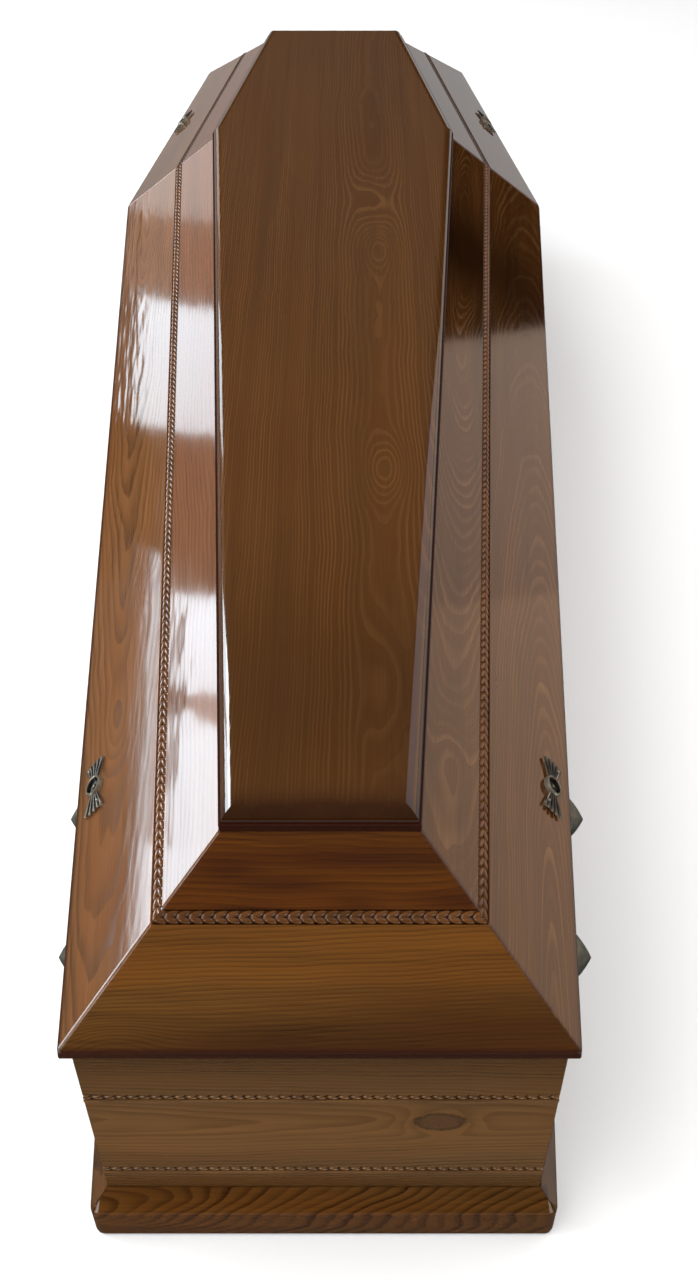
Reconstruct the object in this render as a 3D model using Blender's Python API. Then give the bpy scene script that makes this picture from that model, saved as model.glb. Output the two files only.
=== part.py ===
"""A wooden coffin of the shouldered kind: a six-sided case, wide at the shoulders,
under a lid of six sloping boards and a flat top panel.

Metres, +Z up.  The origin is on the ground under the middle of the length and width.
The foot end points to -Y and the head end to +Y.
"""

import math

import bmesh
import bpy
from mathutils import Matrix, Vector

# Plan, measured at the lid's rim
RIM_LENGTH = 2.0
FOOT_WIDTH = 0.437
SHOULDER_WIDTH = 0.655
HEAD_WIDTH = 0.469
SHOULDER_TO_HEAD = 0.524

# Case
FLOOR_THICKNESS = 0.020
WALL_THICKNESS = 0.024
WALL_SETBACK = 0.0088
CASE_HEIGHT = 0.3307

# Base moulding round the foot of the walls
BASE_HEIGHT = 0.070
BASE_PROJECTION = 0.019
BASE_SLOPE_HEIGHT = 0.021
BASE_ROUNDING = 0.006
BASE_TOP_LIP = 0.0015

# Lid
NOSE_HEIGHT = 0.011
NOSE_ROUNDING = 0.003
SLOPE_RUN = 0.1427
SLOPE_RISE = 0.1138
SLOPE_BOARD = 0.021
PANEL_HEIGHT = 0.021
PANEL_FILLET = 0.0075
PANEL_LEDGE = 0.0012
PANEL_ROUND_RUN = 0.0157
PANEL_ROUND_STEPS = 6

# Rope mouldings: carved strips let into grooves
ROPE_WIDTH = 0.012
ROPE_DEPTH = 0.008
ROPE_EDGE_DEPTH = 0.002
ROPE_PROUD = 0.0008
ROPE_STEPS = 6
LID_ROPE_FROM_RIM = 0.111
UPPER_ROPE_BELOW_WALL_TOP = 0.0845
LOWER_ROPE_ABOVE_BASE = 0.035

# Cast covers over the lid's screws
COVER_LENGTH = 0.070
COVER_RISE = 0.0062
COVER_FINGERS = 5
COVER_FAN_HALF_ANGLE = math.radians(24)
COVER_SCALLOP = 0.0022
COVER_TIP_ROUNDING = 0.10
COVER_SIDE_FLARE = 0.10
COVER_SIDE_STEPS = 6
COVER_SEAT_LENGTH = 0.023
COVER_SEAT_WIDTH = 0.0175
COVER_SEAT_TURN = math.radians(30)
COVER_TILT = math.radians(-4)
COVER_FROM_FOOT = 0.270
COVER_FROM_SHOULDER = 0.277
COVER_UP_SLOPE = 0.0255

# Where a feather's ridge starts and ends, as shares of the feather's width
COVER_RIDGE = (0.3, 0.7)

# Rings from the outline to the seat's edge: a share of the way out from the seat, then the
# heights of a ridge, a groove and the plain side, as shares of the rise
COVER_BODY_RINGS = (
    (1.0, 0.0, 0.0, 0.0),
    (1.0, 0.30, 0.22, 0.20),
    (0.93, 0.62, 0.25, 0.40),
    (0.5, 0.88, 0.42, 0.60),
    (0.06, 0.92, 0.66, 0.76),
)

# Rings of the sunk seat: a share of the seat's size and a share of the rise
COVER_SEAT_RINGS = ((0.90, 1.05), (0.74, 1.06), (0.62, 0.68), (0.30, 0.58))

# Cast handles
HANDLE_FROM_FOOT = 0.285
HANDLE_FROM_SHOULDER = 0.270
HANDLE_HEIGHT = 0.172
EAR_SPACING = 0.178
EAR_REACH = 0.047
EAR_WIDTH = 0.074
EAR_HEIGHT = 0.064
EAR_FLANGE_THICKNESS = 0.003
EAR_FLANGE_MARGIN = 0.005
EAR_SIDES = 16
EAR_RINGS = 7
EAR_FIRST_RING = 0.4
EAR_FULLNESS = 2.2
EAR_BLUNTNESS = 0.95
GRIP_RADIUS = 0.0075
GRIP_SWELL = 0.0012
GRIP_REACH = 0.0275
GRIP_DROP = 0.045
GRIP_SQUARENESS = 3.2
GRIP_SIDES = 10
GRIP_STATIONS = 15

# Clearance between pieces that touch
GAP = 0.0003

RIM_Z = CASE_HEIGHT + GAP + NOSE_HEIGHT
SLOPE_TOP_Z = RIM_Z + SLOPE_RISE
SLOPE_ANGLE = math.atan2(SLOPE_RISE, SLOPE_RUN)
UPPER_ROPE_Z = CASE_HEIGHT - UPPER_ROPE_BELOW_WALL_TOP
LOWER_ROPE_Z = BASE_HEIGHT + LOWER_ROPE_ABOVE_BASE

BOARD_NAMES = ("right_side", "right_shoulder", "head", "left_shoulder", "left_side", "foot")
RIGHT_SIDE = BOARD_NAMES.index("right_side")
RIGHT_SHOULDER = BOARD_NAMES.index("right_shoulder")
LEFT_SHOULDER = BOARD_NAMES.index("left_shoulder")
LEFT_SIDE = BOARD_NAMES.index("left_side")


def clear_scene():
    for obj in list(bpy.data.objects):
        bpy.data.objects.remove(obj, do_unlink=True)


def make_material(name, colour, roughness, metallic=0.0, coat=0.0):
    material = bpy.data.materials.new(name)
    material.use_nodes = True
    shader = material.node_tree.nodes["Principled BSDF"]
    shader.inputs["Base Color"].default_value = (*colour, 1.0)
    shader.inputs["Roughness"].default_value = roughness
    shader.inputs["Metallic"].default_value = metallic
    shader.inputs["Coat Weight"].default_value = coat
    material.diffuse_color = (*colour, 1.0)
    return material


# Plan geometry

def rim_corners():
    """The six corners of the rim, anticlockwise from the right foot corner."""
    end = RIM_LENGTH / 2
    shoulder = end - SHOULDER_TO_HEAD
    right = [(FOOT_WIDTH / 2, -end), (SHOULDER_WIDTH / 2, shoulder), (HEAD_WIDTH / 2, end)]
    left = [(-x, y) for x, y in reversed(right)]
    return [Vector(point) for point in right + left]


def edge_direction(index):
    corners = rim_corners()
    return (corners[(index + 1) % 6] - corners[index]).normalized()


def inward_normal(index):
    along = edge_direction(index)
    return Vector((-along.y, along.x))


def plan_corner(index, inset):
    """The corner of the six-sided plan after all its edges move inwards by the inset."""
    before = inward_normal((index - 1) % 6)
    after = inward_normal(index)
    return rim_corners()[index] + (before + after) * (inset / (1 + before.dot(after)))


def mitre_setback(index):
    """How far a board's end is held back along its edge to leave half the gap at a mitre."""
    before = edge_direction((index - 1) % 6)
    after = edge_direction(index)
    half_angle = (math.pi - before.angle(after)) / 2
    return GAP / 2 / math.sin(half_angle)


def edge_point(index, distance, inset):
    """A point on an edge of the plan, at a distance from the edge's first corner."""
    return plan_corner(index, inset) + edge_direction(index) * distance


# Profiles are lists of (inset, height) points

def slope_point(distance, depth=0.0):
    """A point up the lid's slope from the rim, at a depth under its outer face."""
    inset = distance * math.cos(SLOPE_ANGLE) + depth * math.sin(SLOPE_ANGLE)
    height = distance * math.sin(SLOPE_ANGLE) - depth * math.cos(SLOPE_ANGLE)
    return inset, RIM_Z + height


def inner_slope_inset(height):
    """Where the inner face of the sloping boards stands at a height."""
    drop = SLOPE_BOARD / math.cos(SLOPE_ANGLE)
    return (height - RIM_Z + drop) / math.tan(SLOPE_ANGLE)


def round_corner(before, corner, after, radius, steps=4):
    """Replace a corner of a profile by an arc that is tangent to both of its sides."""
    corner = Vector(corner)
    to_before = (Vector(before) - corner).normalized()
    to_after = (Vector(after) - corner).normalized()
    half = to_before.angle(to_after) / 2
    centre = corner + (to_before + to_after).normalized() * (radius / math.sin(half))
    start = corner + to_before * (radius / math.tan(half)) - centre
    end = corner + to_after * (radius / math.tan(half)) - centre
    sweep = start.angle_signed(end)
    turned = [start.copy() for _ in range(steps + 1)]
    for step, arm in enumerate(turned):
        arm.rotate(Matrix.Rotation(-sweep * step / steps, 2))
    return [tuple(centre + arm) for arm in turned]


def strip_profile(place, width):
    """A strip with a round face, lying in its groove.

    place turns a distance across the groove and a depth into a profile point.
    """
    half = width / 2 - GAP
    crown = ROPE_EDGE_DEPTH + ROPE_PROUD
    points = [place(half, ROPE_DEPTH - GAP), place(-half, ROPE_DEPTH - GAP)]
    for step in range(ROPE_STEPS + 1):
        angle = math.pi * step / ROPE_STEPS
        points.append(place(-half * math.cos(angle), ROPE_EDGE_DEPTH - crown * math.sin(angle)))
    return points


def wall_profile():
    outer = WALL_SETBACK
    inner = WALL_SETBACK + WALL_THICKNESS
    floor = FLOOR_THICKNESS + GAP
    points = [(inner, floor), (outer, floor)]
    for rope_z in (LOWER_ROPE_Z, UPPER_ROPE_Z):
        low = rope_z - ROPE_WIDTH / 2
        high = rope_z + ROPE_WIDTH / 2
        groove = outer + ROPE_DEPTH
        points += [(outer, low), (groove, low), (groove, high), (outer, high)]
    return points + [(outer, CASE_HEIGHT), (inner, CASE_HEIGHT)]


def wall_rope_profile(rope_z):
    return strip_profile(lambda across, depth: (WALL_SETBACK + depth, rope_z + across), ROPE_WIDTH)


def base_profile():
    inner = WALL_SETBACK - GAP
    outer = WALL_SETBACK - BASE_PROJECTION
    edge = (outer, BASE_HEIGHT - BASE_SLOPE_HEIGHT)
    lip = (inner - BASE_TOP_LIP, BASE_HEIGHT)
    foot = round_corner((inner, 0), (outer, 0), edge, BASE_ROUNDING)
    shoulder = round_corner((outer, 0), edge, lip, BASE_ROUNDING)
    return [(inner, 0), *foot, *shoulder, lip, (inner, BASE_HEIGHT)]


def lower_slope_profile():
    seat = RIM_Z - NOSE_HEIGHT
    rope_low = LID_ROPE_FROM_RIM - ROPE_WIDTH / 2
    rope_high = LID_ROPE_FROM_RIM + ROPE_WIDTH / 2
    seat_inner = (inner_slope_inset(seat), seat)
    nose_low = round_corner(seat_inner, (0, seat), (0, RIM_Z), NOSE_ROUNDING)
    nose_high = round_corner((0, seat), (0, RIM_Z), slope_point(rope_low), NOSE_ROUNDING)
    rebate = [
        slope_point(rope_low),
        slope_point(rope_low, ROPE_DEPTH),
        slope_point(rope_high, ROPE_DEPTH),
        slope_point(rope_high, SLOPE_BOARD),
    ]
    return [seat_inner, *nose_low, *nose_high, *rebate]


def lid_rope_profile():
    middle = LID_ROPE_FROM_RIM
    return strip_profile(lambda across, depth: slope_point(middle + across, depth), ROPE_WIDTH)


def upper_slope_profile():
    start = LID_ROPE_FROM_RIM + ROPE_WIDTH / 2 + GAP
    return [
        slope_point(start, SLOPE_BOARD),
        slope_point(start),
        (SLOPE_RUN, SLOPE_TOP_Z),
        (inner_slope_inset(SLOPE_TOP_Z), SLOPE_TOP_Z),
    ]


def panel_profile():
    bottom = SLOPE_TOP_Z + GAP
    round_rise = PANEL_HEIGHT - PANEL_FILLET
    points = [(SLOPE_RUN, bottom), (SLOPE_RUN, bottom + PANEL_FILLET)]
    for step in range(PANEL_ROUND_STEPS + 1):
        angle = math.pi / 2 * step / PANEL_ROUND_STEPS
        inset = SLOPE_RUN + PANEL_LEDGE + PANEL_ROUND_RUN * (1 - math.cos(angle))
        points.append((inset, bottom + PANEL_FILLET + round_rise * math.sin(angle)))
    return points


# Solids

def add_loft(mesh, rings):
    """Skin a row of matching rings and close both ends."""
    loops = [[mesh.verts.new(point) for point in ring] for ring in rings]
    count = len(loops[0])
    for low, high in zip(loops, loops[1:]):
        for i in range(count):
            j = (i + 1) % count
            mesh.faces.new((low[i], low[j], high[j], high[i]))
    mesh.faces.new(reversed(loops[0]))
    mesh.faces.new(loops[-1])


def finish_mesh(mesh, name):
    bmesh.ops.recalc_face_normals(mesh, faces=mesh.faces)
    data = bpy.data.meshes.new(name)
    mesh.to_mesh(data)
    mesh.free()
    data.shade_smooth()
    data.set_sharp_from_angle(angle=math.radians(32))
    return data


def add_object(name, data, material):
    if not data.materials:
        data.materials.append(material)
    obj = bpy.data.objects.new(name, data)
    bpy.context.scene.collection.objects.link(obj)
    return obj


def make_board(name, index, profile, material):
    """A board along one edge of the plan, mitred at both ends."""
    mesh = bmesh.new()
    along = edge_direction(index)
    near_setback = along * mitre_setback(index)
    far_setback = along * mitre_setback((index + 1) % 6)
    near = [(*(plan_corner(index, inset) + near_setback), height) for inset, height in profile]
    far = [(*(plan_corner((index + 1) % 6, inset) - far_setback), height) for inset, height in profile]
    add_loft(mesh, [near, far])
    return add_object(name, finish_mesh(mesh, name), material)


def make_plate(name, profile, material):
    """A six-sided plate whose edge follows a profile from the bottom up."""
    mesh = bmesh.new()
    rings = [[(*plan_corner(i, inset), height) for i in range(6)] for inset, height in profile]
    add_loft(mesh, rings)
    return add_object(name, finish_mesh(mesh, name), material)


def fuse(name, bodies, material):
    """Join overlapping bodies, each a list of rings, into one casting's mesh."""
    core = bmesh.new()
    add_loft(core, bodies[0])
    result = add_object(name + "_core", finish_mesh(core, name + "_core"), material)
    rest = bmesh.new()
    for rings in bodies[1:]:
        add_loft(rest, rings)
    cutter = add_object(name + "_rest", finish_mesh(rest, name + "_rest"), material)
    union = result.modifiers.new("union", "BOOLEAN")
    union.operation = "UNION"
    union.solver = "EXACT"
    union.use_self = True
    union.object = cutter
    evaluated = result.evaluated_get(bpy.context.evaluated_depsgraph_get())
    data = bpy.data.meshes.new_from_object(evaluated)
    data.name = name
    data.set_sharp_from_angle(angle=math.radians(40))
    bpy.data.objects.remove(result, do_unlink=True)
    bpy.data.objects.remove(cutter, do_unlink=True)
    return data


# Screw covers.  Local frame: X along the board, Y up the slope, Z out of it

def fan_ridges(end):
    """Angles across one fan: each feather has a groove, then the two edges of its ridge.

    end is 0 for the fan towards +X and 1 for the one towards -X.  The last angle is a groove.
    """
    step = 2 * COVER_FAN_HALF_ANGLE / COVER_FINGERS
    angles = []
    for finger in range(COVER_FINGERS):
        start = end * math.pi - COVER_FAN_HALF_ANGLE + finger * step
        angles.append((start, False))
        angles += [(start + share * step, True) for share in COVER_RIDGE]
    return angles + [(end * math.pi + COVER_FAN_HALF_ANGLE, False)]


def cover_angles():
    """Every angle round a cover, marked True on a ridge, False in a groove, None beside the fans."""
    side_step = (math.pi - 2 * COVER_FAN_HALF_ANGLE) / COVER_SIDE_STEPS
    angles = []
    for end in (0, 1):
        fan = fan_ridges(end)
        angles += fan
        angles += [(fan[-1][0] + side_step * step, None) for step in range(1, COVER_SIDE_STEPS)]
    return angles


def seat_radius(angle):
    """The radius of the oval seat, whose long axis is turned from the fans' line."""
    turned = angle - COVER_SEAT_TURN
    long, short = COVER_SEAT_LENGTH / 2, COVER_SEAT_WIDTH / 2
    return long * short / math.hypot(short * math.cos(turned), long * math.sin(turned))


def cover_rings():
    """The cover as rings from its outline at the board to the middle of its sunk seat."""
    angles = cover_angles()
    rings = []
    for out, ridge_rise, groove_rise, side_rise in COVER_BODY_RINGS:
        ring = []
        for angle, ridge in angles:
            inner = seat_radius(angle)
            if ridge is None:
                reach = inner * (1 + COVER_SIDE_FLARE * out)
                rise = side_rise
            else:
                tip = COVER_LENGTH / 2 * (1 - COVER_TIP_ROUNDING * math.sin(angle) ** 2)
                if not ridge:
                    tip -= COVER_SCALLOP
                reach = inner + (tip - inner) * out
                rise = ridge_rise if ridge else groove_rise
            ring.append((reach * math.cos(angle), reach * math.sin(angle), COVER_RISE * rise))
        rings.append(ring)
    for size, rise in COVER_SEAT_RINGS:
        ring = []
        for angle, _ in angles:
            reach = seat_radius(angle) * size
            ring.append((reach * math.cos(angle), reach * math.sin(angle), COVER_RISE * rise))
        rings.append(ring)
    return rings


def make_screw_covers(material):
    mesh = bmesh.new()
    add_loft(mesh, cover_rings())
    data = finish_mesh(mesh, "screw_cover")
    side_length = (plan_corner(1, 0) - plan_corner(0, 0)).length
    shoulder_length = (plan_corner(2, 0) - plan_corner(1, 0)).length
    spots = (
        ("screw_cover_right_foot", RIGHT_SIDE, COVER_FROM_FOOT, 1),
        ("screw_cover_right_head", RIGHT_SHOULDER, COVER_FROM_SHOULDER, 1),
        ("screw_cover_left_head", LEFT_SHOULDER, shoulder_length - COVER_FROM_SHOULDER, -1),
        ("screw_cover_left_foot", LEFT_SIDE, side_length - COVER_FROM_FOOT, -1),
    )
    for name, index, distance, lean in spots:
        inset, height = slope_point(COVER_UP_SLOPE, -GAP)
        foot = edge_point(index, distance, 0) + inward_normal(index) * inset
        along = Vector((*edge_direction(index), 0))
        inward = Vector((*inward_normal(index), 0))
        up_slope = inward * math.cos(SLOPE_ANGLE) + Vector((0, 0, math.sin(SLOPE_ANGLE)))
        turn = Matrix((along, up_slope, along.cross(up_slope))).transposed()
        cover = add_object(name, data, material)
        cover.location = (*foot, height)
        cover.rotation_euler = (turn @ Matrix.Rotation(lean * COVER_TILT, 3, "Z")).to_euler()


# Handles.  Local frame: X along the wall, Y out of it, Z up

def ear_rings(x):
    """A cast ear that swells from a flange on the wall to a blunt tip."""
    outlines = [(GAP, EAR_FLANGE_MARGIN, 1.0), (EAR_FLANGE_THICKNESS, EAR_FLANGE_MARGIN, 1.0)]
    for step in range(EAR_RINGS):
        share = math.sin(math.pi / 2 * (step + EAR_FIRST_RING) / EAR_RINGS)
        size = (1 - share ** EAR_FULLNESS) ** EAR_BLUNTNESS
        reach = EAR_FLANGE_THICKNESS + (EAR_REACH - EAR_FLANGE_THICKNESS) * share
        outlines.append((reach, 0.0, size))
    rings = []
    for reach, margin, size in outlines:
        ring = []
        for i in range(EAR_SIDES):
            angle = 2 * math.pi * i / EAR_SIDES
            across = (EAR_WIDTH / 2 * size + margin) * math.cos(angle)
            up = (EAR_HEIGHT / 2 * size + margin) * math.sin(angle)
            ring.append((x + across, reach, up))
        rings.append(ring)
    return rings


def grip_rings():
    """The grip: a round bar that dips between the two ears."""
    rings = []
    for station in range(GRIP_STATIONS):
        share = 2 * station / (GRIP_STATIONS - 1) - 1
        x = EAR_SPACING / 2 * share
        dip = GRIP_DROP * (1 - abs(share) ** GRIP_SQUARENESS)
        steepness = GRIP_SQUARENESS * abs(share) ** (GRIP_SQUARENESS - 1)
        slope = math.copysign(GRIP_DROP * steepness / (EAR_SPACING / 2), share)
        radius = GRIP_RADIUS + GRIP_SWELL * math.cos(math.pi / 2 * share)
        lean = math.atan(slope)
        ring = []
        for i in range(GRIP_SIDES):
            angle = 2 * math.pi * i / GRIP_SIDES
            across = radius * math.cos(angle)
            out = radius * math.sin(angle)
            ring.append((x - across * math.sin(lean), GRIP_REACH + out, -dip + across * math.cos(lean)))
        rings.append(ring)
    return rings


def make_handles(material):
    half = EAR_SPACING / 2
    data = fuse("handle", [grip_rings(), ear_rings(-half), ear_rings(half)], material)
    foot, shoulder, head = [plan_corner(i, WALL_SETBACK) for i in range(3)]
    side_length = (shoulder - foot).length
    shoulder_length = (head - shoulder).length
    spots = (
        ("handle_right_foot", RIGHT_SIDE, HANDLE_FROM_FOOT),
        ("handle_right_head", RIGHT_SHOULDER, HANDLE_FROM_SHOULDER),
        ("handle_left_head", LEFT_SHOULDER, shoulder_length - HANDLE_FROM_SHOULDER),
        ("handle_left_foot", LEFT_SIDE, side_length - HANDLE_FROM_FOOT),
    )
    for name, index, distance in spots:
        along = edge_direction(index)
        handle = add_object(name, data, material)
        handle.location = (*edge_point(index, distance, WALL_SETBACK), HANDLE_HEIGHT)
        handle.rotation_euler.z = math.atan2(-along.y, -along.x)


def build():
    clear_scene()
    case_wood = make_material("case_wood", (0.20, 0.105, 0.040), 0.32, coat=0.6)
    base_wood = make_material("base_wood", (0.15, 0.065, 0.020), 0.32, coat=0.6)
    lid_wood = make_material("lid_wood", (0.24, 0.100, 0.032), 0.22, coat=0.9)
    panel_wood = make_material("panel_wood", (0.16, 0.085, 0.030), 0.25, coat=0.9)
    rope_wood = make_material("rope_wood", (0.19, 0.085, 0.032), 0.30, coat=0.7)
    floor_wood = make_material("floor_wood", (0.42, 0.28, 0.15), 0.60)
    bronze = make_material("bronze", (0.17, 0.14, 0.085), 0.38, metallic=1.0)

    make_plate("floor", [(WALL_SETBACK, 0), (WALL_SETBACK, FLOOR_THICKNESS)], floor_wood)
    make_plate("lid_top_panel", panel_profile(), panel_wood)
    for index, name in enumerate(BOARD_NAMES):
        make_board("wall_" + name, index, wall_profile(), case_wood)
        make_board("base_" + name, index, base_profile(), base_wood)
        make_board("wall_rope_low_" + name, index, wall_rope_profile(LOWER_ROPE_Z), rope_wood)
        make_board("wall_rope_high_" + name, index, wall_rope_profile(UPPER_ROPE_Z), rope_wood)
        make_board("lid_lower_" + name, index, lower_slope_profile(), lid_wood)
        make_board("lid_rope_" + name, index, lid_rope_profile(), rope_wood)
        make_board("lid_upper_" + name, index, upper_slope_profile(), lid_wood)
    make_screw_covers(bronze)
    make_handles(bronze)


build()
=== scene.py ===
"""A shouldered wooden coffin in glossy stained pine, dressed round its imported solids.

Metres, +Z up.  The foot end points to -Y and the head end to +Y.
"""

import math

import bpy
from mathutils import Matrix, Vector


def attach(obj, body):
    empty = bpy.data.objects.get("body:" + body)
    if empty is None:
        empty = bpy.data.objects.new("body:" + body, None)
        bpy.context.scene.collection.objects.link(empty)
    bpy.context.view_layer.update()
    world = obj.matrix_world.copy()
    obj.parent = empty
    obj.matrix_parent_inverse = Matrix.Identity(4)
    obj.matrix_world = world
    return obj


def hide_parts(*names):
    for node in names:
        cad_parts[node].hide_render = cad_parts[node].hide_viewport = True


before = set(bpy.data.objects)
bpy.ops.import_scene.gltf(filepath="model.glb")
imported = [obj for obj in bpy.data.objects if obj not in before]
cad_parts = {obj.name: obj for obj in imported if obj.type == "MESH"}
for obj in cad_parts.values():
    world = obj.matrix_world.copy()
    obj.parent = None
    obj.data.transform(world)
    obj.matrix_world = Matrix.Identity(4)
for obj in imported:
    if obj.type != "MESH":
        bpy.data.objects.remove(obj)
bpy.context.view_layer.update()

# The solids' own sizes
RIM_LENGTH = 2.0
FOOT_WIDTH = 0.437
SHOULDER_WIDTH = 0.655
HEAD_WIDTH = 0.469
SHOULDER_TO_HEAD = 0.524
RIM_Z = 0.342
SLOPE_RUN = 0.1427
SLOPE_RISE = 0.1138
SLOPE_ANGLE = math.atan2(SLOPE_RISE, SLOPE_RUN)
PANEL_TOP = 0.4771
PANEL_HEIGHT = 0.021
PANEL_LEDGE = 0.0021
# The panel's rounded edge from its ledge up: slope in degrees and run of each step
PANEL_ROUND = ((80, 0.00025), (72, 0.00045), (63, 0.0007), (54, 0.0014), (45, 0.0017), (38, 0.0015),
               (34, 0.0014), (31, 0.0014), (28, 0.0014), (24, 0.0012), (18, 0.0011), (12, 0.0010),
               (6, 0.0008), (2, 0.0005))
PANEL_FILLET = PANEL_HEIGHT - sum(run * math.tan(math.radians(slope)) for slope, run in PANEL_ROUND)
WALL_SETBACK = 0.0088
BASE_PROJECTION = 0.019
LID_ROPE_FROM_RIM = 0.111
UPPER_ROPE_Z = 0.2462
LOWER_ROPE_Z = 0.105
GAP = 0.0003

# Finer sizes: the lid's softened mitres, the base's corners rounded in plan, the panel's arris
EASE_WIDTH = 0.0034
EASE_DEPTH = 0.0009
BASE_CORNER = 0.010
BASE_CORNER_CUTS = 4
PANEL_ARRIS = 0.0008

# How near two places count as the same
NEAR = 0.0001

# One board or moulding of each kind stands on each edge of the rim, in this order
BOARD_NAMES = ("right_side", "right_shoulder", "head", "left_shoulder", "left_side", "foot")
UP = Vector((0, 0, 1))
MIRROR_X = Matrix.Scale(-1, 4, (1, 0, 0))
MIRROR_Y = Matrix.Scale(-1, 4, (0, 1, 0))


def rim_corners():
    """The six corners of the rim, anticlockwise from the right foot corner."""
    end = RIM_LENGTH / 2
    shoulder = end - SHOULDER_TO_HEAD
    right = [(FOOT_WIDTH / 2, -end), (SHOULDER_WIDTH / 2, shoulder), (HEAD_WIDTH / 2, end)]
    left = [(-x, y) for x, y in reversed(right)]
    return [Vector((x, y, 0)) for x, y in right + left]


RIM = rim_corners()


def edge_direction(index):
    """The direction of an edge of the rim, anticlockwise."""
    return (RIM[(index + 1) % 6] - RIM[index % 6]).normalized()


def rim_length(index):
    """The length of an edge of the rim."""
    return (RIM[(index + 1) % 6] - RIM[index]).length


def board_frame(index, face):
    """Turns a board's own frame into the coffin's: X along it, Y across its face, Z out of it.

    A slope's Y runs up from the rim, a wall's up from the ground.
    """
    middle = (RIM[index] + RIM[(index + 1) % 6]) / 2
    along = edge_direction(index)
    inward = UP.cross(along)
    if face == "slope":
        origin = middle + UP * RIM_Z
        across = inward * math.cos(SLOPE_ANGLE) + UP * math.sin(SLOPE_ANGLE)
    else:
        setback = WALL_SETBACK if face == "wall" else WALL_SETBACK - BASE_PROJECTION
        origin = middle + inward * setback
        across = UP
    turn = Matrix((along, across, along.cross(across))).transposed().to_4x4()
    return Matrix.Translation(origin) @ turn


def plan_corner(index, inset):
    """A corner of the rim's outline after all its edges move inwards."""
    before, after = (UP.cross(edge_direction(i)) for i in (index - 1, index))
    return RIM[index % 6] + (before + after) * (inset / (1 + before.dot(after)))


PANEL_FRAME = Matrix.Translation((0, 0, PANEL_TOP)) @ Matrix.Rotation(math.pi / 2, 4, "Z")


# Materials

class Value:
    """A socket that adds Math nodes when it is used in an expression."""

    def __init__(self, tree, socket):
        self.tree = tree
        self.socket = socket

    def compute(self, operation, *values):
        node = self.tree.nodes.new("ShaderNodeMath")
        node.operation = operation
        for slot, value in zip(node.inputs, values):
            feed(self.tree, slot, value)
        return Value(self.tree, node.outputs[0])

    def __add__(self, other):
        return self.compute("ADD", self, other)

    def __sub__(self, other):
        return self.compute("SUBTRACT", self, other)

    def __rsub__(self, other):
        return self.compute("SUBTRACT", other, self)

    def __mul__(self, other):
        return self.compute("MULTIPLY", self, other)

    def __truediv__(self, other):
        return self.compute("DIVIDE", self, other)

    def __pow__(self, other):
        return self.compute("POWER", self, other)

    def __neg__(self):
        return self.compute("MULTIPLY", self, -1.0)

    __radd__ = __add__
    __rmul__ = __mul__


def feed(tree, slot, value):
    if isinstance(value, Value):
        tree.links.new(value.socket, slot)
    else:
        slot.default_value = value


class NodeSet:
    """The nodes of a material or of the room, and how they are added."""

    def __init__(self, tree):
        self.tree = tree

    def add(self, kind, settings, inputs, output=0):
        """A node of a type, with its settings, then the values or links of its sockets."""
        node = self.tree.nodes.new("ShaderNode" + kind)
        for name, setting in settings.items():
            setattr(node, name, setting)
        for name, value in inputs.items():
            feed(self.tree, node.inputs[name], value)
        return Value(self.tree, node.outputs[output])

    def step(self, value, low, high):
        """A smooth step from 0 at low to 1 at high."""
        return self.add("MapRange", {"interpolation_type": "SMOOTHSTEP"},
                        {"Value": value, "From Min": low, "From Max": high})

    def noise(self, vector, scale, detail=2.0, roughness=0.5):
        return self.add("TexNoise", {}, {"Vector": vector, "Scale": scale, "Detail": detail,
                                         "Roughness": roughness})

    def stretch(self, vector, scale):
        return self.add("Mapping", {}, {"Vector": vector, "Scale": scale})

    def blend(self, factor, first, second, mode="MIX"):
        """A colour between two, each a socket or three numbers."""
        first, second = (c if isinstance(c, Value) else (*c, 1.0) for c in (first, second))
        # A mix of colours takes them at its inputs 6 and 7 and gives its output 2
        return self.add("Mix", {"data_type": "RGBA", "blend_type": mode},
                        {0: factor, 6: first, 7: second}, 2)

    def split(self, vector):
        """The X, Y and Z of a vector."""
        node = self.add("SeparateXYZ", {}, {0: vector}).socket.node
        return [Value(self.tree, socket) for socket in node.outputs]

    def bump(self, height):
        """A normal from a height in millimetres."""
        return self.add("Bump", {}, {"Strength": 1.0, "Distance": 0.001, "Height": height})


class Finish(NodeSet):
    """A material and its nodes."""

    def __init__(self, name):
        self.material = bpy.data.materials.new(name)
        self.material.use_nodes = True
        super().__init__(self.material.node_tree)
        self.shader = self.tree.nodes["Principled BSDF"]
        self.coords = self.add("TexCoord", {}, {}, "Object")

    def set(self, **inputs):
        for name, value in inputs.items():
            feed(self.tree, self.shader.inputs[name.replace("_", " ")], value)


MAROON = (0.022, 0.0042, 0.0012)
KNOT_TONE = (0.072, 0.034, 0.0150)


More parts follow.
